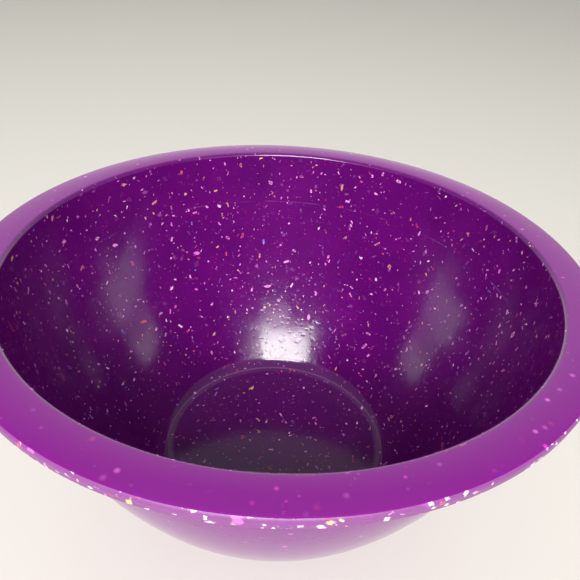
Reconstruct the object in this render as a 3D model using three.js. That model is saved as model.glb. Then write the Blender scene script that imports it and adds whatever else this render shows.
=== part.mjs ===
// A wide round mixing bowl with a flat turned-out rim, moulded in one piece, and the soft ring
// that is pressed into its foot so that it does not slide. Millimetres, +Z up. The origin is the
// centre of the ring's underside, on the surface that the bowl stands on.

import * as THREE from 'three';

// Inside of the bowl. In section the wall is one long arc from the floor's edge to the mouth.
const floorHeight = 8;
const floorRadius = 74;
const mouthHeight = 158;
const mouthRadius = 138;
const wallArcRadius = 277;
const floorBlendRadius = 16;

// The wall and the floor have the same thickness.
const wallThickness = 3.2;

// Rim: a rounded lip at the mouth, a slightly crowned band, and a drafted outer edge.
const lipRadius = 2.5;
const lipRise = 1;
const bandCrownRadius = 75;
const rimRadius = 155.8;
const rimEdgeRadius = 1.8;
const rimEdgeRise = 1.7;
const rimLowerRadius = 155.3;
const rimLowerEdgeRadius = 0.5;
const rimDrop = 3.8;
const rimFilletRadius = 3;

// Foot: a low ring under the floor, with a groove in its underside for the soft ring.
const footOuterRadius = 65;
const footInnerRadius = 56;
const footDraft = 0.4;
const footEdgeRadius = 0.8;
const grooveOuterRadius = 63;
const grooveInnerRadius = 58;
const grooveDepth = 2.5;

// Soft ring, with clearance to the groove's three faces. It stands proud below the foot.
const ringClearance = 0.3;
const ringProud = 0.8;
const ringEdgeRadius = 0.5;

const turnSegments = 72;
const wallSteps = 9;
const floorBlendSteps = 5;
const blendSteps = 3;
const edgeSteps = 2;

// Directions in the section, where x is the radius and y is the height.
const outward = 0;
const upward = Math.PI / 2;
const inward = Math.PI;
const downward = -Math.PI / 2;

function point(x, y) {
  return new THREE.Vector2(x, y);
}

// The point at distanceA from a and distanceB from b, on the left of the way from a to b.
function pointAtDistances(a, distanceA, b, distanceB) {
  const span = a.distanceTo(b);
  const along = (distanceA ** 2 - distanceB ** 2 + span ** 2) / (2 * span);
  const aside = Math.sqrt(distanceA ** 2 - along ** 2);
  const way = b.clone().sub(a).normalize();
  const across = point(-way.y, way.x);
  return a.clone().addScaledVector(way, along).addScaledVector(across, aside);
}

// The point at a given height and distance from centre, on the side away from the bowl's axis.
function pointAtHeight(centre, distance, height) {
  return point(centre.x + Math.sqrt(distance ** 2 - (height - centre.y) ** 2), height);
}

function angleTo(from, to) {
  return Math.atan2(to.y - from.y, to.x - from.x);
}

function arc(centre, radius, fromAngle, toAngle, steps) {
  const points = [];
  for (let step = 0; step <= steps; step += 1) {
    const angle = THREE.MathUtils.lerp(fromAngle, toAngle, step / steps);
    points.push(point(centre.x + radius * Math.cos(angle), centre.y + radius * Math.sin(angle)));
  }
  return points;
}

// Wall: the inner and outer faces are arcs about one centre, and so are the two floor blends.
const outerArcRadius = wallArcRadius + wallThickness;
const floorEdge = point(floorRadius, floorHeight);
const mouthEdge = point(mouthRadius, mouthHeight);
const wallCentre = pointAtDistances(floorEdge, wallArcRadius, mouthEdge, wallArcRadius);
const blendHeight = floorHeight + floorBlendRadius;
const blendCentre = pointAtHeight(wallCentre, wallArcRadius - floorBlendRadius, blendHeight);

// Rim: each arc is tangent to the next one.
const lipHeight = mouthHeight + lipRise - lipRadius;
const lipCentre = pointAtHeight(wallCentre, wallArcRadius + lipRadius, lipHeight);
const edgeCentre = point(rimRadius - rimEdgeRadius, mouthHeight + rimEdgeRise - rimEdgeRadius);
const rimUnderside = mouthHeight - rimDrop;
const lowerCentre = point(rimLowerRadius - rimLowerEdgeRadius, rimUnderside + rimLowerEdgeRadius);
const edgeReach = bandCrownRadius - rimEdgeRadius;
const lipReach = bandCrownRadius - lipRadius;
const crownCentre = pointAtDistances(edgeCentre, edgeReach, lipCentre, lipReach);
const filletHeight = rimUnderside - rimFilletRadius;
const filletCentre = pointAtHeight(wallCentre, outerArcRadius + rimFilletRadius, filletHeight);

const underFloor = floorHeight - wallThickness;

// From the floor's centre out to its edge and up the inside of the wall.
function insideSection() {
  const wallStart = angleTo(wallCentre, blendCentre);
  const wallEnd = angleTo(wallCentre, lipCentre);
  return [
    point(0, floorHeight),
    ...arc(blendCentre, floorBlendRadius, downward, wallStart, floorBlendSteps),
    ...arc(wallCentre, wallArcRadius, wallStart, wallEnd, wallSteps).slice(1),
  ];
}

// From the lip over the band, round the outer edge and in below the rim to the wall.
function rimSection() {
  const lipStart = angleTo(lipCentre, wallCentre);
  const lipEnd = angleTo(crownCentre, lipCentre);
  const crownEnd = angleTo(crownCentre, edgeCentre);
  const edgeSpan = edgeCentre.distanceTo(lowerCentre);
  const faceLean = Math.asin((rimEdgeRadius - rimLowerEdgeRadius) / edgeSpan);
  const faceNormal = angleTo(lowerCentre, edgeCentre) - Math.PI / 2 - faceLean;
  const filletEnd = angleTo(filletCentre, wallCentre);
  return [
    ...arc(lipCentre, lipRadius, lipStart, lipEnd, blendSteps).slice(1),
    ...arc(crownCentre, bandCrownRadius, lipEnd, crownEnd, blendSteps).slice(1),
    ...arc(edgeCentre, rimEdgeRadius, crownEnd, faceNormal, blendSteps).slice(1),
    ...arc(lowerCentre, rimLowerEdgeRadius, faceNormal, downward, edgeSteps),
    ...arc(filletCentre, rimFilletRadius, upward, filletEnd, edgeSteps),
  ];
}

// Down the outside of the wall and round in under the floor.
function outsideSection() {
  const wallStart = angleTo(wallCentre, filletCentre);
  const wallEnd = angleTo(wallCentre, blendCentre);
  const blendRadius = floorBlendRadius + wallThickness;
  return [
    ...arc(wallCentre, outerArcRadius, wallStart, wallEnd, wallSteps).slice(1),
    ...arc(blendCentre, blendRadius, wallEnd, downward, floorBlendSteps).slice(1),
  ];
}

// Round the foot and its groove, and in along the underside of the floor to the axis.
function footSection() {
  const cornerHeight = ringProud + footEdgeRadius;
  const outerCorner = point(footOuterRadius - footEdgeRadius, cornerHeight);
  const innerCorner = point(footInnerRadius + footEdgeRadius, cornerHeight);
  return [
    point(footOuterRadius + footDraft, underFloor),
    ...arc(outerCorner, footEdgeRadius, outward, downward, edgeSteps),
    point(grooveOuterRadius, ringProud),
    point(grooveOuterRadius, ringProud + grooveDepth),
    point(grooveInnerRadius, ringProud + grooveDepth),
    point(grooveInnerRadius, ringProud),
    ...arc(innerCorner, footEdgeRadius, downward, -inward, edgeSteps),
    point(footInnerRadius - footDraft, underFloor),
    point(0, underFloor),
  ];
}

// Turns a section about +Z. It runs anticlockwise, so that the faces point out.
function turned(section) {
  const geometry = new THREE.LatheGeometry(section, turnSegments);
  geometry.rotateX(Math.PI / 2);
  return geometry;
}

function makeBowl() {
  const section = [...insideSection(), ...rimSection(), ...outsideSection(), ...footSection()];
  const purpleMelamine = new THREE.MeshStandardMaterial({
    color: 0x5c1268,
    roughness: 0.16,
    metalness: 0,
  });
  const bowl = new THREE.Mesh(turned(section.reverse()), purpleMelamine);
  bowl.name = 'bowl';
  return bowl;
}

function makeNonSlipRing() {
  const outerRadius = grooveOuterRadius - ringClearance;
  const innerRadius = grooveInnerRadius + ringClearance;
  const topHeight = ringProud + grooveDepth - ringClearance;
  const outerCorner = point(outerRadius - ringEdgeRadius, ringEdgeRadius);
  const innerCorner = point(innerRadius + ringEdgeRadius, ringEdgeRadius);
  const section = [
    point(innerRadius, topHeight),
    ...arc(innerCorner, ringEdgeRadius, inward, inward + Math.PI / 2, edgeSteps),
    ...arc(outerCorner, ringEdgeRadius, downward, outward, edgeSteps),
    point(outerRadius, topHeight),
    point(innerRadius, topHeight),
  ];
  const softRubber = new THREE.MeshStandardMaterial({
    color: 0x3a2a40,
    roughness: 0.8,
    metalness: 0,
  });
  const ring = new THREE.Mesh(turned(section), softRubber);
  ring.name = 'non_slip_ring';
  return ring;
}

const mixingBowl = new THREE.Group();
mixingBowl.add(makeBowl());
mixingBowl.add(makeNonSlipRing());

export default mixingBowl;
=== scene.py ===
"""Speckled melamine mixing bowl and its soft ring: the looks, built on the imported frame.

Shapes, lights and camera are in metres, +Z up. Materials work in millimetres.
"""
import math
from dataclasses import dataclass

import bmesh
import bpy
from mathutils import Matrix, Vector


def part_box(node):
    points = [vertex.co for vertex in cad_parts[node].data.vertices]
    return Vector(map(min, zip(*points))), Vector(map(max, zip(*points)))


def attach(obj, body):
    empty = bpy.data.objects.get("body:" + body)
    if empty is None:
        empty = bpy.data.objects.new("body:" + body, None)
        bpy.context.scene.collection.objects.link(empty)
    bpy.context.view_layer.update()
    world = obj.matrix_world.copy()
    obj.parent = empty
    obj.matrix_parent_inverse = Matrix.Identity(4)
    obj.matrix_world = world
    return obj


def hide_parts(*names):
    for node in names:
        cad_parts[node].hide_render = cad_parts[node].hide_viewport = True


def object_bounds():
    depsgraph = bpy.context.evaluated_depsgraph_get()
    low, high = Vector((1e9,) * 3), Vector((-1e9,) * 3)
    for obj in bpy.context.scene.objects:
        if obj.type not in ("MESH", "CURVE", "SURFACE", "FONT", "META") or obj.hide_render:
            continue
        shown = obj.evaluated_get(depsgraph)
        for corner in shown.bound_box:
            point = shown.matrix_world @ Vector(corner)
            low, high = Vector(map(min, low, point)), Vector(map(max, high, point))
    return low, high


MM = 0.001

# The bowl's section, as in the CAD model.
MOUTH_RADIUS = 138 * MM
MOUTH_DEPTH = 150 * MM
FLOOR_RADIUS = 74 * MM
WALL_ARC_RADIUS = 277 * MM
FLOOR_BLEND_RADIUS = 16 * MM
WALL_THICKNESS = 3.2 * MM
LIP_RADIUS = 2.5 * MM
LIP_RISE = 1.0 * MM
BAND_CROWN_RADIUS = 75 * MM
RIM_EDGE_RADIUS = 1.8 * MM
RIM_EDGE_RISE = 1.7 * MM
RIM_LOWER_SETBACK = 0.5 * MM
RIM_LOWER_EDGE_RADIUS = 0.5 * MM
RIM_DROP = 3.8 * MM
RIM_FILLET_RADIUS = 3 * MM
FOOT_HEIGHT = 4 * MM
FOOT_OUTER_RADIUS = 65 * MM
FOOT_INNER_RADIUS = 56 * MM
FOOT_DRAFT = 0.4 * MM
FOOT_EDGE_RADIUS = 0.8 * MM
GROOVE_OUTER_RADIUS = 63 * MM
GROOVE_INNER_RADIUS = 58 * MM
GROOVE_DEPTH = 2.5 * MM

# The soft ring's underside has fine round grooves, which the CAD ring leaves out.
RING_EDGE_RADIUS = 0.5 * MM
TREAD_GROOVES = 3
TREAD_DEPTH = 0.35 * MM

# How many faces each stretch of a section has, TREAD_STEPS being for one groove, and how many
# there are round the axis.
FLOOR_STEPS = 12
FLOOR_BLEND_STEPS = 24
INNER_WALL_STEPS = 56
LIP_STEPS = 10
BAND_STEPS = 12
RIM_EDGE_STEPS = 12
RIM_FACE_STEPS = 4
RIM_FILLET_STEPS = 8
OUTER_WALL_STEPS = 48
OUTER_BLEND_STEPS = 12
CORNER_STEPS = 6
RECESS_STEPS = 10
RING_TOP_STEPS = 4
TREAD_STEPS = 10
TURN_STEPS = 256

SHARP_ANGLE = math.radians(40)
ON_AXIS = 1e-9

# Directions in a section, where x is the radius and y is the height.
QUARTER = math.pi / 2
OUTWARD, UPWARD, INWARD, DOWNWARD = 0.0, QUARTER, math.pi, -QUARTER

# The floor that the bowl stands on.
STAGE_RADIUS = 6.0
STAGE_COLOUR = (214, 212, 206)
STAGE_ROUGHNESS = 0.7

# The room's light: pale walls, dimmer to the sides and low down behind, and a dim ceiling.
# Heights are angles above the horizon. Side and behind are parts of a unit direction.
WALL_LIGHT = (1.85, 1.81, 1.69, 1)
CEILING_LIGHT = (0.47, 0.46, 0.45, 1)
CEILING_HEIGHTS = (math.radians(12), math.radians(50))
SIDES = (0.25, 0.85)
SIDE_SHADE = 0.3
BEHIND = (-0.2, -0.5)
LOW_HEIGHTS = (math.radians(22), math.radians(34))
LOW_BEHIND_SHADE = 0.2

# A tall window behind the camera, with dimmer panes on both sides of it and a low pane. Each
# pane has its reach across and up from the middle of the mouth, and its radiance.
WINDOW_DISTANCE = 1.68
WINDOW_COLOUR = (1.0, 0.985, 0.965)
WINDOW_PANES = {
    "window_sky": ((-0.70, 0.44), (1.60, 1.95), 27),
    "window_high": ((-0.72, 0.50), (1.29, 1.60), 12),
    "window_main": ((-0.90, 0.50), (0.90, 1.29), 22),
    "window_sides": ((-1.25, 0.85), (0.90, 1.29), 5),
    "window_wide": ((-2.0, 1.8), (0.95, 1.35), 2.5),
    "window_low": ((-0.16, 0.40), (0.71, 0.90), 7),
}

CAMERA_BACK = 0.2483
CAMERA_ABOVE_MOUTH = 0.1461
CAMERA_YAW = math.radians(1.05)
CAMERA_PITCH = math.radians(34.49)
CAMERA_ROLL = math.radians(3.32)
CAMERA_LENS_MM = 33.96
CAMERA_NEAREST = 0.01


# ---- sections: x is the radius, y is the height ----

def point_at_distances(a, distance_a, b, distance_b):
    """The point at those distances from a and b, on the left of the way from a to b."""
    way = b - a
    span = way.length
    way.normalize()
    along = (distance_a**2 - distance_b**2 + span**2) / (2 * span)
    aside = math.sqrt(distance_a**2 - along**2)
    return a + way * along + Vector((-way.y, way.x)) * aside


def point_at_height(centre, distance, height):
    """The point at that height and distance from centre, on the side away from the axis."""
    return Vector((centre.x + math.sqrt(distance**2 - (height - centre.y) ** 2), height))


def angle_to(a, b):
    return math.atan2(b.y - a.y, b.x - a.x)


def arc(centre, radius, start, end, steps):
    angles = [start + (end - start) * i / steps for i in range(steps + 1)]
    return [centre + Vector((math.cos(t), math.sin(t))) * radius for t in angles]


def line(a, b, steps):
    """The points after a up to b, so that a long flat face has more than one row of faces."""
    return [a.lerp(b, i / steps) for i in range(1, steps + 1)]


class BowlSection:
    """The arcs of the bowl's section, each tangent to the next."""

    def __init__(self, low, high):
        self.bottom = low.z
        self.floor_height = low.z + FOOT_HEIGHT + WALL_THICKNESS
        self.under_floor = self.floor_height - WALL_THICKNESS
        self.mouth_height = self.floor_height + MOUTH_DEPTH
        self.rim_underside = self.mouth_height - RIM_DROP
        self.rim_radius = high.x
        self.place_wall()
        self.place_rim()

    def place_wall(self):
        floor_edge = Vector((FLOOR_RADIUS, self.floor_height))
        mouth_edge = Vector((MOUTH_RADIUS, self.mouth_height))
        self.outer_radius = WALL_ARC_RADIUS + WALL_THICKNESS
        self.wall = point_at_distances(floor_edge, WALL_ARC_RADIUS, mouth_edge, WALL_ARC_RADIUS)
        blend_height = self.floor_height + FLOOR_BLEND_RADIUS
        self.blend = point_at_height(self.wall, WALL_ARC_RADIUS - FLOOR_BLEND_RADIUS, blend_height)

    def place_rim(self):
        lip_height = self.mouth_height + LIP_RISE - LIP_RADIUS
        self.lip = point_at_height(self.wall, WALL_ARC_RADIUS + LIP_RADIUS, lip_height)
        edge_height = self.mouth_height + RIM_EDGE_RISE - RIM_EDGE_RADIUS
        self.edge = Vector((self.rim_radius - RIM_EDGE_RADIUS, edge_height))
        lower_radius = self.rim_radius - RIM_LOWER_SETBACK - RIM_LOWER_EDGE_RADIUS
        self.lower = Vector((lower_radius, self.rim_underside + RIM_LOWER_EDGE_RADIUS))
        edge_reach = BAND_CROWN_RADIUS - RIM_EDGE_RADIUS
        lip_reach = BAND_CROWN_RADIUS - LIP_RADIUS
        self.crown = point_at_distances(self.edge, edge_reach, self.lip, lip_reach)
        fillet_reach = self.outer_radius + RIM_FILLET_RADIUS
        fillet_height = self.rim_underside - RIM_FILLET_RADIUS
        self.fillet = point_at_height(self.wall, fillet_reach, fillet_height)

    def inside(self):
        """From the middle of the floor out and up to the lip."""
        wall_start = angle_to(self.wall, self.blend)
        wall_end = angle_to(self.wall, self.lip)
        centre = Vector((0, self.floor_height))
        blend = arc(self.blend, FLOOR_BLEND_RADIUS, DOWNWARD, wall_start, FLOOR_BLEND_STEPS)
        wall = arc(self.wall, WALL_ARC_RADIUS, wall_start, wall_end, INNER_WALL_STEPS)
        return [centre, *line(centre, blend[0], FLOOR_STEPS), *blend[1:], *wall[1:]]

    def rim(self):
        """Over the lip and the band, down the trimmed face and in below the rim to the wall."""
        lip_start = angle_to(self.lip, self.wall)
        lip_end = angle_to(self.crown, self.lip)
        crown_end = angle_to(self.crown, self.edge)
        edge_span = (self.edge - self.lower).length
        lean = math.asin((RIM_EDGE_RADIUS - RIM_LOWER_EDGE_RADIUS) / edge_span)
        face = angle_to(self.lower, self.edge) - QUARTER - lean
        fillet_end = angle_to(self.fillet, self.wall)
        lip = arc(self.lip, LIP_RADIUS, lip_start, lip_end, LIP_STEPS)
        band = arc(self.crown, BAND_CROWN_RADIUS, lip_end, crown_end, BAND_STEPS)
        edge = arc(self.edge, RIM_EDGE_RADIUS, crown_end, face, RIM_EDGE_STEPS)
        lower = arc(self.lower, RIM_LOWER_EDGE_RADIUS, face, DOWNWARD, CORNER_STEPS)
        fillet = arc(self.fillet, RIM_FILLET_RADIUS, UPWARD, fillet_end, RIM_FILLET_STEPS)
        trimmed_face = line(edge[-1], lower[0], RIM_FACE_STEPS)
        underside = line(lower[-1], fillet[0], RIM_FACE_STEPS)
        return [*lip[1:], *band[1:], *edge[1:], *trimmed_face, *lower[1:], *underside, *fillet[1:]]

    def outside(self):
        """Down the outer wall and round in under the floor."""
        wall_start = angle_to(self.wall, self.fillet)
        wall_end = angle_to(self.wall, self.blend)
        blend_radius = FLOOR_BLEND_RADIUS + WALL_THICKNESS
        wall = arc(self.wall, self.outer_radius, wall_start, wall_end, OUTER_WALL_STEPS)
        blend = arc(self.blend, blend_radius, wall_end, DOWNWARD, OUTER_BLEND_STEPS)
        return [*wall[1:], *blend[1:]]

    def foot(self):
        """Round the foot and its groove, and in along the floor's underside to the axis."""
        corner_height = self.bottom + FOOT_EDGE_RADIUS
        outer_corner = Vector((FOOT_OUTER_RADIUS - FOOT_EDGE_RADIUS, corner_height))
        inner_corner = Vector((FOOT_INNER_RADIUS + FOOT_EDGE_RADIUS, corner_height))
        groove_top = self.bottom + GROOVE_DEPTH
        recess_edge = Vector((FOOT_INNER_RADIUS - FOOT_DRAFT, self.under_floor))
        return [
            Vector((FOOT_OUTER_RADIUS + FOOT_DRAFT, self.under_floor)),
            *arc(outer_corner, FOOT_EDGE_RADIUS, OUTWARD, DOWNWARD, CORNER_STEPS),
            Vector((GROOVE_OUTER_RADIUS, self.bottom)),
            Vector((GROOVE_OUTER_RADIUS, groove_top)),
            Vector((GROOVE_INNER_RADIUS, groove_top)),
            Vector((GROOVE_INNER_RADIUS, self.bottom)),
            *arc(inner_corner, FOOT_EDGE_RADIUS, DOWNWARD, DOWNWARD - QUARTER, CORNER_STEPS),
            recess_edge,
            *line(recess_edge, Vector((0, self.under_floor)), RECESS_STEPS),
        ]

    def points(self):
        return [*self.inside(), *self.rim(), *self.outside(), *self.foot()]


def tread(inner_radius, outer_radius, height):
    """The points between those radii along an underside that has round grooves in it."""
    steps = TREAD_GROOVES * TREAD_STEPS
    points = []
    for i in range(1, steps):
        across = i / steps
        wave = 0.5 - 0.5 * math.cos(2 * math.pi * TREAD_GROOVES * across)
        radius = inner_radius + (outer_radius - inner_radius) * across
        points.append(Vector((radius, height + TREAD_DEPTH * wave**2)))
    return points


def ring_section(low, high):
    """The soft ring's section: rounded corners, and fine grooves across the underside."""
    clearance = GROOVE_OUTER_RADIUS - high.x
    inner = GROOVE_INNER_RADIUS + clearance + RING_EDGE_RADIUS
    outer = high.x - RING_EDGE_RADIUS
    top = high.z - RING_EDGE_RADIUS
    bottom = low.z + RING_EDGE_RADIUS
    return [
        *arc(Vector((inner, top)), RING_EDGE_RADIUS, UPWARD, INWARD, RING_TOP_STEPS),
        *arc(Vector((inner, bottom)), RING_EDGE_RADIUS, INWARD, INWARD + QUARTER, CORNER_STEPS),
        *tread(inner, outer, low.z),
        *arc(Vector((outer, bottom)), RING_EDGE_RADIUS, DOWNWARD, OUTWARD, CORNER_STEPS),
        *arc(Vector((outer, top)), RING_EDGE_RADIUS, OUTWARD, UPWARD, RING_TOP_STEPS),
    ]


# ---- meshes ----

def circle(mesh, radius, height):
    """Points round the axis, or the one point on it."""
    if radius < ON_AXIS:
        return [mesh.verts.new((0, 0, height))]
    turns = [2 * math.pi * i / TURN_STEPS for i in range(TURN_STEPS)]
    return [mesh.verts.new((radius * math.cos(t), radius * math.sin(t), height)) for t in turns]


def join_circles(mesh, a, b):
    """Faces between two circles, of which one may be a single point."""
    for i in range(TURN_STEPS):
        j = (i + 1) % TURN_STEPS
        corners = [a[i % len(a)], a[j % len(a)], b[j % len(b)], b[i % len(b)]]
        # On the axis two of the four corners are the same point, which a face holds once.
        mesh.faces.new(list(dict.fromkeys(corners)))


def new_object(name, mesh):
    data = bpy.data.meshes.new(name)
    mesh.to_mesh(data)
    mesh.free()
    made = bpy.data.objects.new(name, data)
    bpy.context.scene.collection.objects.link(made)
    return made


def turned(name, section, closed):
    """A smooth solid of revolution. A section that isn't closed starts and ends on the axis."""
    mesh = bmesh.new()
    circles = [circle(mesh, p.x, p.y) for p in section]
    pairs = list(zip(circles, circles[1:]))
    if closed:
        pairs.append((circles[-1], circles[0]))
    for a, b in pairs:
        join_circles(mesh, a, b)
    bmesh.ops.recalc_face_normals(mesh, faces=mesh.faces)
    piece = new_object(name, mesh)
    piece.data.shade_smooth()
    piece.data.set_sharp_from_angle(angle=SHARP_ANGLE)
    return piece


# ---- shader helpers ----

class Shader:
    """Adds nodes to one node tree and joins them up."""

    def __init__(self, tree):
        self.tree = tree

    def join(self, value, socket):
        if isinstance(value, bpy.types.NodeSocket):
            self.tree.links.new(value, socket)
        else:
            socket.default_value = value

    def node(self, kind, inputs=None, **settings):
        made = self.tree.nodes.new(kind)
        for key, value in settings.items():
            setattr(made, key, value)
        for key, value in (inputs or {}).items():
            self.join(value, made.inputs[key])
        return made

    def surface(self, **values):
        """Sets inputs of the material's own surface, such as Base_Color, and returns its node."""
        principled = self.tree.nodes["Principled BSDF"]
        for key, value in values.items():
            self.join(value, principled.inputs[key.replace("_", " ")])
        return principled

    def math(self, operation, *values):
        made = self.node("ShaderNodeMath", operation=operation)
        for value, socket in zip(values, made.inputs):
            self.join(value, socket)
        return made.outputs[0]

    def plus(self, a, b):
        return self.math("ADD", a, b)

    def minus(self, a, b):
        return self.math("SUBTRACT", a, b)

    def times(self, a, b):
        return self.math("MULTIPLY", a, b)

    def off(self, value, middle):
        """How far value is from middle, on either side."""
        return self.math("ABSOLUTE", self.minus(value, middle))

    def hypotenuse(self, a, b):
        return self.math("SQRT", self.plus(self.times(a, a), self.times(b, b)))

    def remap(self, value, low, high, to_low=0.0, to_high=1.0):
        """Value from low to high becomes to_low to to_high, and goes no further."""
        ends = {"From Min": low, "From Max": high, "To Min": to_low, "To Max": to_high}
        return self.node("ShaderNodeMapRange", {"Value": value, **ends}).outputs["Result"]

    def spread(self, chance, low, high):
        """A number from low to high, for a chance from 0 to 1."""
        return self.remap(chance, 0, 1, low, high)

    def between(self, value, low, high, soft):
        """1 where value is from low to high, and 0 beyond, over a soft step."""
        above = self.remap(value, low, low + soft)
        below = self.remap(value, high - soft, high, 1, 0)
        return self.times(above, below)

    def vector(self, operation, a, b):
        made = self.node("ShaderNodeVectorMath", operation=operation)
        self.join(a, made.inputs[0])
        self.join(b, made.inputs[1])
        return made.outputs["Vector"]

    def scaled(self, vector, factor):
        made = self.node("ShaderNodeVectorMath", operation="SCALE")
        self.join(vector, made.inputs[0])
        self.join(factor, made.inputs["Scale"])
        return made.outputs["Vector"]

    def rotated(self, vector, turns):
        inputs = {"Vector": vector, "Rotation": turns}
        return self.node("ShaderNodeVectorRotate", inputs, rotation_type="EULER_XYZ").outputs[0]

    def axes(self, vector):
        return self.node("ShaderNodeSeparateXYZ", {"Vector": vector}).outputs

    def millimetres(self):
        """The shaded point's place in the piece, in millimetres."""
        return self.scaled(self.node("ShaderNodeTexCoord").outputs["Object"], 1 / MM)

    def noise(self, vector, scale, detail=2.0, output="Fac"):
        inputs = {"Vector": vector, "Scale": scale, "Detail": detail}
        return self.node("ShaderNodeTexNoise", inputs).outputs[output]

    def cells(self, vector, spacing):
        """One random point to a cell of that spacing, and the random numbers that go with it."""
        found = self.node("ShaderNodeTexVoronoi", {"Vector": vector, "Scale": 1 / spacing})
        chances = self.node("ShaderNodeTexWhiteNoise", {"Vector": found.outputs["Position"]})
        return found.outputs, chances.outputs

    def mix(self, factor, a, b):
        # The node has a set of sockets for each type of value. These are the ones for colours.
        made = self.node("ShaderNodeMix", data_type="RGBA")
        self.join(factor, made.inputs[0])
        self.join(a, made.inputs[6])
        self.join(b, made.inputs[7])
        return made.outputs[2]

    def pick(self, chance, colours):
        """The colour that goes with a chance from 0 to 1."""
        ramp = self.node("ShaderNodeValToRGB", {"Fac": chance})
        ramp.color_ramp.interpolation = "CONSTANT"
        stops = ramp.color_ramp.elements
        while len(stops) < len(colours):
            stops.new(1.0)
        for stop, (place, colour) in zip(stops, colours):
            stop.position = place
            stop.color = colour
        return ramp.outputs["Color"]

    def bump(self, height, distance, before=None):
        """A bump of that distance, in metres, on top of another normal if there is one."""
        inputs = {"Height": height, "Distance": distance, "Strength": 1.0}
        if before is not None:
            inputs["Normal"] = before
        return self.node("ShaderNodeBump", inputs).outputs["Normal"]


def new_material(name):
    """A material, and the shader that adds to its nodes."""
    material = bpy.data.materials.new(name)
    material.use_nodes = True
    return material, Shader(material.node_tree)


def linear(red, green, blue):
    """A colour given as 0 to 255 in sRGB, as the linear colour that a shader takes."""
    def one(value):
        c = value / 255
        return c / 12.92 if c <= 0.04045 else ((c + 0.055) / 1.055) ** 2.4
    return (one(red), one(green), one(blue), 1.0)


# ---- speckled melamine: lengths are in millimetres ----

PURPLE = linear(92, 7, 101)
PURPLE_DEEP = linear(80, 5, 92)
PURPLE_SKIN = linear(117, 10, 124)
# This pale colour is worn into a broken scuff up the wall, and also paints a thin ring at the
# floor's edge that is a painted reflection of a light overhead.
RUBBED_AND_RING_SHEEN_PALE = linear(190, 140, 196)
BUFFED_PALE = linear(200, 118, 200)
FLAKE_RIM = linear(234, 130, 218)

# The chance from which a flake has each colour, and the colour.
FLAKE_COLOURS = [
    (0.00, linear(255, 228, 250)),
    (0.27, linear(253, 192, 244)),
    (0.55, linear(244, 148, 228)),
    (0.76, linear(226, 100, 198)),
    (0.86, linear(176, 16, 70)),
    (0.91, linear(200, 72, 50)),
    (0.93, linear(214, 148, 84)),
    (0.965, linear(234, 194, 70)),
    (0.98, linear(50, 120, 240)),
    (0.99, linear(90, 50, 170)),
]
SPECK_COLOURS = [
    (0.00, linear(255, 206, 246)),
    (0.25, linear(242, 150, 230)),
    (0.60, linear(226, 100, 198)),
    (0.90, linear(200, 40, 90)),
]
DEEP_FLAKE_COLOURS = [
    (0.00, linear(190, 60, 180)),
    (0.35, linear(190, 20, 90)),
    (0.60, linear(60, 30, 160)),
    (0.80, linear(190, 110, 200)),
]
EDGE_FLAKE_COLOURS = [
    (0.00, linear(255, 248, 253)),
    (0.62, linear(252, 214, 242)),
    (0.84, linear(244, 220, 130)),
    (0.90, linear(226, 80, 70)),
    (0.95, linear(222, 110, 200)),
]
BURIED_FLAKE_COLOURS = [
    (0.00, linear(236, 60, 214)),
    (0.50, linear(214, 104, 214)),
    (0.90, linear(216, 70, 120)),
    (0.94, linear(70, 40, 190)),
]


@dataclass
class FlakeKind:
    """One kind of flake in the moulding. There is one to a cell of the kind's spacing.

    shift keeps the cells of the kinds apart. smallest and largest are half lengths, and a higher
    crowding makes small flakes commoner. dimmest and clearest are how strongly the deepest and
    the nearest flakes show. colours are picked by chance. thinnest and thickest are parts of the
    length, softness is how far the edge fades, and hollowness is how empty the middle is of those
    that show only their rims. A kind that swells also raises the surface a little.
    """

    spacing: float
    shift: tuple
    smallest: float
    largest: float
    crowding: float
    dimmest: float
    clearest: float
    colours: list
    thinnest: float = 0.12
    thickest: float = 0.45
    softness: float = 0.14
    hollowness: float = 0.85
    swells: bool = True


# The flakes that show where no skin covers them, from the deepest up.
BARE_FLAKES = [
    FlakeKind(
        spacing=5.0, shift=(31, 7, 83), smallest=0.5, largest=2.0, crowding=1.2, dimmest=0.08,
        clearest=0.40, colours=DEEP_FLAKE_COLOURS, thinnest=0.4, thickest=0.9, softness=0.7,
    ),
    FlakeKind(
        spacing=2.6, shift=(47, 19, 61), smallest=0.15, largest=0.55, crowding=1.5, dimmest=0.1,
        clearest=0.6, colours=SPECK_COLOURS, swells=False,
    ),
    FlakeKind(
        spacing=4.2, shift=(11, 57, 23), smallest=0.45, largest=1.8, crowding=1.3, dimmest=0.4,
        clearest=1.0, colours=FLAKE_COLOURS, thickest=0.32,
    ),
    FlakeKind(
        spacing=8.6, shift=(71, 3, 41), smallest=1.0, largest=2.3, crowding=1.0, dimmest=0.6,
        clearest=1.0, colours=FLAKE_COLOURS, thinnest=0.2, thickest=0.42, softness=0.1,
    ),
]

# The bigger, paler flakes that show on the trimmed edge of the rim.
EDGE_FLAKES = FlakeKind(
    spacing=4.6, shift=(5, 91, 17), smallest=1.2, largest=2.6, crowding=0.9, dimmest=0.8,
    clearest=1.0, colours=EDGE_FLAKE_COLOURS, thinnest=0.35, thickest=0.6, softness=0.3,
    hollowness=0.0,
)

# A flake's width as a part of its length, how far it may slant and bend, and its cut corner.
FLAKE_WIDTHS = (0.25, 0.85)
FLAKE_SLANT = 0.8
FLAKE_BEND = 0.5
CUT_ALONG = 0.7
CUT_ACROSS = 0.9

# Flakes whose shape chance is above this have a hollow middle, which lies this far in.
HOLLOW_CHANCES = (0.84, 0.86)
HOLLOW_DEPTHS = (0.3, 0.5)

# How much of the flakes' rim colour there is at their outline, and how far in it reaches.
RIM_TINT = 0.4
RIM_TINT_WIDTH = 0.4

# The noise that bends the flakes' outlines.
WANDER_SCALE = 0.9
WANDER = 0.9

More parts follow.
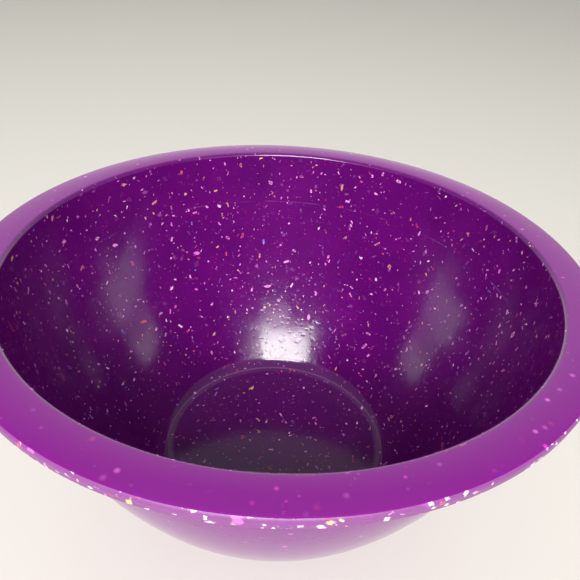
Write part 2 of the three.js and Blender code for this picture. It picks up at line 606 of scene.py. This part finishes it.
# Flakes that show through the skin as soft spots.
BURIED_SPACING = 6.5
BURIED_SIZES = (0.7, 1.6)
BURIED_SOFTNESS = (0.2, 1.0)
BURIED_CROWDING = 1.5
BURIED_STRENGTHS = (0.15, 0.9)

# The trimmed and buffed strip round the rim reaches from just under it up its rounded edge.
TRIM_RISE = 1.5
TRIM_BELOW = 0.3
TRIM_SOFTNESS = 0.1
TRIM_SIDE_SOFTNESS = 0.3

# How far beyond the inner wall's face the skin over the flakes starts and is full.
SKIN_DEPTHS = (0.6, 2.2)
FLAKES_THROUGH_SKIN = 0.03

# A painted reflection: a thin pale ring at the floor's edge. And a broken ring up the wall, where
# other dishes have scuffed it.
FLOOR_RING_RADIUS = 72.3
FLOOR_RING_HALF_WIDTHS = (0.2, 0.7)
FLOOR_RING_HEIGHTS = (1, 2)
SCUFF_DEPTH = 34.2
SCUFF_HALF_WIDTHS = (0.1, 0.6)
SCUFF_WALL_DEPTHS = (0.5, 1.0)
SCUFF_BREAKS = (0.5, 0.68)
SCUFF_BREAK_SCALE = 0.05
SCUFF_STRENGTH = 0.8
RUBBED_AND_RING_SHEEN_PALENESS = 0.18
BUFFED_PALENESS = 0.28

# Roughness of the clean gloss, and what each kind of wear adds.
GLOSS = (0.07, 0.10)
STROKE_ROUGHNESS = 0.05
SCRATCH_ROUGHNESS = 0.10
BUFFED_ROUGHNESS = 0.36
RUBBED_AND_RING_ROUGHNESS = 0.1
MELAMINE_IOR = 1.55

# Relief, as bump distances in metres.
WAVE_HEIGHT = 0.04 * MM
FLAKE_SWELL = 0.02 * MM
STROKE_HEIGHT = 0.006 * MM
SCRATCH_DEPTH = 0.003 * MM
SWELL_REACH = (-0.6, 0.2)

# The middle of a noise's range, over which it does its work, and how fine each noise is.
NOISE_MIDDLE = (0.3, 0.7)
MOTTLE_SCALE = 0.035
HAZE_SCALE = 0.02
WAVE_SCALE = 0.07

# Polishing lines: how many there are to a radian, and how slowly they change along the wall.
STROKES_PER_RADIAN = 60
STROKE_CHANGE = 0.06

# Hair scratches: the turns of the three sets, how far they are stretched, and where they show.
SCRATCH_TURNS = [(0.3, 0.9, 0.2), (1.4, 0.2, 2.1), (2.6, 1.3, 0.7)]
SCRATCH_STRETCH = (1.6, 0.03, 0.5)
SCRATCH_WIDTH = 0.012
SCRATCH_BREAKS = (0.55, 0.62)
SCRATCH_BREAK_SCALE = 0.06


class BowlSurface:
    """Where a shaded point is on the bowl, and what has become of the surface there.

    on_edge is 1 on the trimmed edge of the rim. skin is 1 where clear purple covers the flakes:
    on the rest of the rim and down the outer wall, but not inside the bowl or round the foot.
    bare is how well flakes show. The last mask is 1 where other dishes have scuffed the wall, and
    on a painted reflection: a thin pale ring at the floor's edge.
    """

    def __init__(self, shader, section):
        self.shader = shader
        self.section = section
        self.place = shader.millimetres()
        self.x, self.y, self.z = shader.axes(self.place)
        self.radius = shader.hypotenuse(self.x, self.y)
        self.beyond_wall = self.find_beyond_wall()
        self.on_edge = self.find_edge()
        covered = shader.remap(self.beyond_wall, *SKIN_DEPTHS)
        self.skin = shader.times(covered, shader.minus(1.0, self.on_edge))
        self.bare = shader.spread(self.skin, 1.0, FLAKES_THROUGH_SKIN)
        # Scuffs up the wall, and the painted reflection ring at the floor's edge.
        self.rubbed_and_ring_sheen = shader.math("MAXIMUM", self.find_painted_ring_sheen(), self.find_scuff())

    def find_beyond_wall(self):
        """How far the point is beyond the inner wall's face."""
        across = self.shader.minus(self.radius, self.section.wall.x / MM)
        up = self.shader.minus(self.z, self.section.wall.y / MM)
        return self.shader.minus(self.shader.hypotenuse(across, up), WALL_ARC_RADIUS / MM)

    def find_edge(self):
        low = self.section.rim_underside / MM - TRIM_BELOW
        high = self.section.edge.y / MM + TRIM_RISE
        inner = (self.section.rim_radius - RIM_EDGE_RADIUS) / MM
        level = self.shader.between(self.z, low, high, TRIM_SOFTNESS)
        outside = self.shader.remap(self.radius, inner, inner + TRIM_SIDE_SOFTNESS)
        return self.shader.times(level, outside)

    # A painted reflection: a thin ring at the floor's edge, made pale in the colour.
    def find_painted_ring_sheen(self):
        off_ring = self.shader.off(self.radius, FLOOR_RING_RADIUS)
        off_floor = self.shader.off(self.z, self.section.floor_height / MM)
        ring = self.shader.remap(off_ring, *FLOOR_RING_HALF_WIDTHS, 1, 0)
        return self.shader.times(ring, self.shader.remap(off_floor, *FLOOR_RING_HEIGHTS, 1, 0))

    def find_scuff(self):
        off_scuff = self.shader.off(self.z, self.section.mouth_height / MM - SCUFF_DEPTH)
        breaks = self.shader.noise(self.place, SCUFF_BREAK_SCALE, detail=5)
        scuff = self.shader.remap(off_scuff, *SCUFF_HALF_WIDTHS, 1, 0)
        inside = self.shader.remap(self.beyond_wall, *SCUFF_WALL_DEPTHS, 1, 0)
        shows = self.shader.remap(breaks, *SCUFF_BREAKS, 0, SCUFF_STRENGTH)
        return self.shader.times(self.shader.times(scuff, inside), shows)


class FlakeLayer:
    """Flakes of one kind: flat chips at random tilts, seen where the surface cuts them.

    inside is 1 at a chip's middle, 0 at its edge and negative around it.
    """

    def __init__(self, shader, place, kind):
        self.shader = shader
        self.kind = kind
        shifted = shader.vector("ADD", place, kind.shift)
        cells, chances = shader.cells(shifted, kind.spacing)
        size_chance, self.shape_chance, self.thick_chance = shader.axes(chances["Color"])
        self.chance = chances["Value"]
        from_centre = shader.vector("SUBTRACT", shifted, cells["Position"])
        tilt = shader.scaled(cells["Color"], 2 * math.pi)
        self.inside = self.find_inside(shader.rotated(from_centre, tilt), size_chance)

    def find_inside(self, local, size_chance):
        shader = self.shader
        kind = self.kind
        x, y, z = shader.axes(local)
        crowded = shader.math("POWER", size_chance, kind.crowding)
        length = shader.spread(crowded, kind.smallest, kind.largest)
        width = shader.times(length, shader.spread(self.shape_chance, *FLAKE_WIDTHS))
        flatness = shader.spread(self.thick_chance, kind.thinnest, kind.thickest)
        thickness = shader.times(length, flatness)
        slant = shader.spread(self.thick_chance, -FLAKE_SLANT, FLAKE_SLANT)
        bend = shader.spread(self.chance, -FLAKE_BEND, FLAKE_BEND)
        slanted = shader.plus(x, shader.times(y, slant))
        bent = shader.plus(z, shader.times(x, bend))
        corner = shader.plus(shader.times(x, CUT_ALONG), shader.times(y, CUT_ACROSS))
        reach = 0.0
        for across, half in ((slanted, length), (y, width), (bent, thickness), (corner, width)):
            one = shader.math("DIVIDE", shader.math("ABSOLUTE", across), half)
            reach = shader.math("MAXIMUM", reach, one)
        return shader.minus(1.0, reach)

    def over(self, base, where):
        """Base with the flakes over it, as strongly as where says.

        Each lies at its own depth, so some show dimly, and some have only their rims showing.
        """
        shader = self.shader
        kind = self.kind
        mask = shader.times(shader.remap(self.inside, 0.0, kind.softness), where)
        hollow = shader.remap(self.shape_chance, *HOLLOW_CHANCES, 0.0, kind.hollowness)
        middle = shader.remap(self.inside, *HOLLOW_DEPTHS)
        whole = shader.minus(1.0, shader.times(hollow, middle))
        depth = shader.spread(self.thick_chance, kind.dimmest, kind.clearest)
        shows = shader.times(mask, shader.times(depth, whole))
        to_rim = shader.remap(self.inside, 0.0, RIM_TINT_WIDTH, RIM_TINT, 0.0)
        tint = shader.mix(to_rim, shader.pick(self.chance, kind.colours), FLAKE_RIM)
        return shader.mix(shows, base, tint)


def wandering(shader, place):
    """Place, moved a little this way and that, so that straight outlines become crooked."""
    wander = shader.noise(place, WANDER_SCALE, detail=1.0, output="Color")
    centred = shader.vector("SUBTRACT", wander, (0.5, 0.5, 0.5))
    return shader.vector("ADD", place, shader.scaled(centred, WANDER))


def add_buried_spots(shader, base, surface):
    """Base with soft round spots over it: flakes that show dimly through the skin above them."""
    cells, chances = shader.cells(surface.place, BURIED_SPACING)
    distance = shader.times(cells["Distance"], BURIED_SPACING)
    size_chance, clear_chance, _ = shader.axes(chances["Color"])
    size = shader.spread(size_chance, *BURIED_SIZES)
    spot = shader.remap(shader.math("DIVIDE", distance, size), *BURIED_SOFTNESS, 1, 0)
    strength = shader.spread(shader.math("POWER", clear_chance, BURIED_CROWDING), *BURIED_STRENGTHS)
    shows = shader.times(shader.times(spot, strength), surface.skin)
    return shader.mix(shows, base, shader.pick(chances["Value"], BURIED_FLAKE_COLOURS))


def polishing_lines(shader, surface):
    """Fine streaks that run up the wall and across the floor towards the middle, from 0 to 1."""
    angle = shader.math("ARCTAN2", surface.y, surface.x)
    inputs = {
        "X": shader.times(angle, STROKES_PER_RADIAN),
        "Y": shader.times(surface.z, STROKE_CHANGE),
        "Z": shader.times(surface.radius, STROKE_CHANGE),
    }
    streaked = shader.node("ShaderNodeCombineXYZ", inputs).outputs[0]
    return shader.noise(streaked, 1.0, detail=3)


def hair_scratches(shader, place):
    """Thin broken scratches in three directions, from 0 to 1."""
    total = 0.0
    for turn in SCRATCH_TURNS:
        stretched = shader.vector("MULTIPLY", shader.rotated(place, turn), SCRATCH_STRETCH)
        off_ridge = shader.off(shader.noise(stretched, 1.0, detail=1), 0.5)
        lines = shader.remap(off_ridge, 0.0, SCRATCH_WIDTH, 1, 0)
        patches = shader.noise(shader.vector("ADD", place, turn), SCRATCH_BREAK_SCALE)
        one = shader.times(lines, shader.remap(patches, *SCRATCH_BREAKS))
        total = shader.math("MAXIMUM", total, one)
    return total


def melamine_colour(shader, surface, bare_layers, edge_layer):
    """Mottled purple, scuffed and buffed in places, with a painted reflection ring at the floor's
    edge, and the flakes over it.
    """
    mottle = shader.noise(surface.place, MOTTLE_SCALE, detail=4)
    colour = shader.mix(shader.remap(mottle, *NOISE_MIDDLE), PURPLE_DEEP, PURPLE)
    colour = shader.mix(surface.skin, colour, PURPLE_SKIN)
    # Pale on the scuff up the wall, and on the thin ring at the floor's edge, which is a painted
    # reflection.
    colour = shader.mix(shader.times(surface.rubbed_and_ring_sheen, RUBBED_AND_RING_SHEEN_PALENESS), colour, RUBBED_AND_RING_SHEEN_PALE)
    colour = shader.mix(shader.times(surface.on_edge, BUFFED_PALENESS), colour, BUFFED_PALE)
    for layer in bare_layers:
        colour = layer.over(colour, surface.bare)
    colour = add_buried_spots(shader, colour, surface)
    return edge_layer.over(colour, surface.on_edge)


def melamine_roughness(shader, surface, strokes, scratches):
    """A slightly hazy gloss, duller where it is polished, scratched, buffed or scuffed, and on the
    ring at the floor's edge.
    """
    haze = shader.noise(surface.place, HAZE_SCALE, detail=3)
    roughness = shader.remap(haze, *NOISE_MIDDLE, *GLOSS)
    wear = [
        (strokes, STROKE_ROUGHNESS),
        (scratches, SCRATCH_ROUGHNESS),
        (surface.on_edge, BUFFED_ROUGHNESS),
        (surface.rubbed_and_ring_sheen, RUBBED_AND_RING_ROUGHNESS),
    ]
    for amount, extra in wear:
        roughness = shader.plus(roughness, shader.times(amount, extra))
    return roughness


def melamine_relief(shader, surface, bare_layers, strokes, scratches):
    """The moulding's slight waviness, the swell over flakes, and the marks of polishing."""
    waves = shader.noise(surface.place, WAVE_SCALE, detail=1)
    normal = shader.bump(waves, WAVE_HEIGHT)
    for layer in bare_layers:
        if layer.kind.swells:
            swell = shader.times(shader.remap(layer.inside, *SWELL_REACH), surface.bare)
            normal = shader.bump(swell, FLAKE_SWELL, normal)
    normal = shader.bump(strokes, STROKE_HEIGHT, normal)
    return shader.bump(scratches, -SCRATCH_DEPTH, normal)


def speckled_melamine(section):
    material, shader = new_material("speckled_melamine")
    surface = BowlSurface(shader, section)
    crooked = wandering(shader, surface.place)
    bare_layers = [FlakeLayer(shader, crooked, kind) for kind in BARE_FLAKES]
    edge_layer = FlakeLayer(shader, crooked, EDGE_FLAKES)
    strokes = polishing_lines(shader, surface)
    scratches = hair_scratches(shader, surface.place)
    shader.surface(
        Base_Color=melamine_colour(shader, surface, bare_layers, edge_layer),
        Roughness=melamine_roughness(shader, surface, strokes, scratches),
        Normal=melamine_relief(shader, surface, bare_layers, strokes, scratches),
        IOR=MELAMINE_IOR,
    )
    return material


# ---- soft rubber ----

RUBBER_DARK = linear(46, 32, 52)
RUBBER_PALE = linear(62, 45, 70)
DUST = linear(120, 108, 118)
DUST_STRENGTH = 0.35
DUST_SCALE = 0.25
DUST_PATCHES = (0.5, 0.75)
GRAIN_SCALE = 3.0
GRAIN_MIDDLE = (0.35, 0.65)
RUBBER_ROUGHNESS = (0.72, 0.9)
RUBBER_GRAIN_HEIGHT = 0.03 * MM


def soft_rubber():
    """Dark and matt, with a fine grain and patches of dust."""
    material, shader = new_material("soft_rubber")
    place = shader.millimetres()
    grain = shader.noise(place, GRAIN_SCALE, detail=4)
    dust = shader.noise(place, DUST_SCALE, detail=5)
    colour = shader.mix(shader.remap(grain, *GRAIN_MIDDLE), RUBBER_DARK, RUBBER_PALE)
    dusty = shader.remap(dust, *DUST_PATCHES, 0, DUST_STRENGTH)
    shader.surface(
        Base_Color=shader.mix(dusty, colour, DUST),
        Roughness=shader.remap(dust, *NOISE_MIDDLE, *RUBBER_ROUGHNESS),
        Normal=shader.bump(grain, RUBBER_GRAIN_HEIGHT),
    )
    return material


# ---- stage ----

def pale_floor():
    """Pale and matt. From below it is clear, so that the underside can be looked at."""
    material, shader = new_material("pale_floor")
    matt = shader.surface(Base_Color=linear(*STAGE_COLOUR), Roughness=STAGE_ROUGHNESS)
    shown = shader.node("ShaderNodeMixShader")
    shader.join(shader.node("ShaderNodeNewGeometry").outputs["Backfacing"], shown.inputs[0])
    shader.join(matt.outputs[0], shown.inputs[1])
    shader.join(shader.node("ShaderNodeBsdfTransparent").outputs[0], shown.inputs[2])
    shader.join(shown.outputs[0], shader.tree.nodes["Material Output"].inputs["Surface"])
    return material


def make_floor(height, hole_radius):
    """A wide disc with a hole that the soft ring covers, through which the underside is lit."""
    mesh = bmesh.new()
    join_circles(mesh, circle(mesh, STAGE_RADIUS, height), circle(mesh, hole_radius, height))
    floor = new_object("floor", mesh)
    floor.data.materials.append(pale_floor())


def make_world():
    """The soft light of a plain room, by direction."""
    world = bpy.data.worlds.new("studio")
    bpy.context.scene.world = world
    world.use_nodes = True
    shader = Shader(world.node_tree)
    x, y, z = shader.axes(shader.node("ShaderNodeTexCoord").outputs["Generated"])
    to_ceiling = shader.remap(z, *[math.sin(height) for height in CEILING_HEIGHTS])
    side_shade = shader.remap(shader.math("ABSOLUTE", x), *SIDES, 1.0, SIDE_SHADE)
    low = shader.remap(z, *[math.sin(height) for height in LOW_HEIGHTS], 1, 0)
    low_behind = shader.times(shader.remap(y, *BEHIND), low)
    light = shader.mix(to_ceiling, WALL_LIGHT, CEILING_LIGHT)
    light = shader.scaled(light, side_shade)
    light = shader.scaled(light, shader.spread(low_behind, 1.0, LOW_BEHIND_SHADE))
    shader.join(light, world.node_tree.nodes["Background"].inputs["Color"])


def make_pane(name, origin, across, up, radiance):
    """A pane that faces +Y, from across[0] to across[1] along X and up[0] to up[1] in height."""
    data = bpy.data.lights.new(name, "AREA")
    data.shape = "RECTANGLE"
    data.size = across[1] - across[0]
    data.size_y = up[1] - up[0]
    data.energy = radiance * math.pi * data.size * data.size_y
    data.color = WINDOW_COLOUR
    pane = bpy.data.objects.new(name, data)
    pane.location = origin + Vector((sum(across) / 2, 0, sum(up) / 2))
    pane.rotation_euler = (QUARTER, 0, 0)
    bpy.context.scene.collection.objects.link(pane)


def make_window(mouth):
    behind = mouth + Vector((0, -WINDOW_DISTANCE, 0))
    for name, (across, up, radiance) in WINDOW_PANES.items():
        make_pane(name, behind, across, up, radiance)


def make_camera(mouth):
    data = bpy.data.cameras.new("camera")
    data.lens = CAMERA_LENS_MM
    data.clip_start = CAMERA_NEAREST
    camera = bpy.data.objects.new("camera", data)
    turn = Matrix.Rotation(-CAMERA_YAW, 4, "Z")
    tilt = Matrix.Rotation(QUARTER - CAMERA_PITCH, 4, "X")
    roll = Matrix.Rotation(CAMERA_ROLL, 4, "Z")
    place = Matrix.Translation(mouth + Vector((0, -CAMERA_BACK, CAMERA_ABOVE_MOUTH)))
    camera.matrix_world = place @ turn @ tilt @ roll
    bpy.context.scene.collection.objects.link(camera)
    bpy.context.scene.camera = camera


# ---- the scene ----

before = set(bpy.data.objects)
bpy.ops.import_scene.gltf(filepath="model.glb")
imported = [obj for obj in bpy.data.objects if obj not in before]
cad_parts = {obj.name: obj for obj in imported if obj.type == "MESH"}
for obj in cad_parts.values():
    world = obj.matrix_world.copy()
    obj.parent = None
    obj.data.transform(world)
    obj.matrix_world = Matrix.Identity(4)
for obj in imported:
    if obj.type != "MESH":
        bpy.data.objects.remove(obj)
cad_low, cad_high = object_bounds()

bowl_section = BowlSection(*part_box("bowl"))
ring_low, ring_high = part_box("non_slip_ring")
mouth_centre = Vector((0, 0, bowl_section.mouth_height))

bowl = turned("moulded_bowl", bowl_section.points(), closed=False)
bowl.data.materials.append(speckled_melamine(bowl_section))
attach(bowl, "root")
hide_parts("bowl")

ring = turned("grip_ring", ring_section(ring_low, ring_high), closed=True)
ring.data.materials.append(soft_rubber())
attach(ring, "root")
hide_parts("non_slip_ring")

make_floor(cad_low.z, ring_high.x - RING_EDGE_RADIUS)
make_world()
make_window(mouth_centre)
make_camera(mouth_centre)
bpy.context.scene.view_settings.view_transform = "Standard"
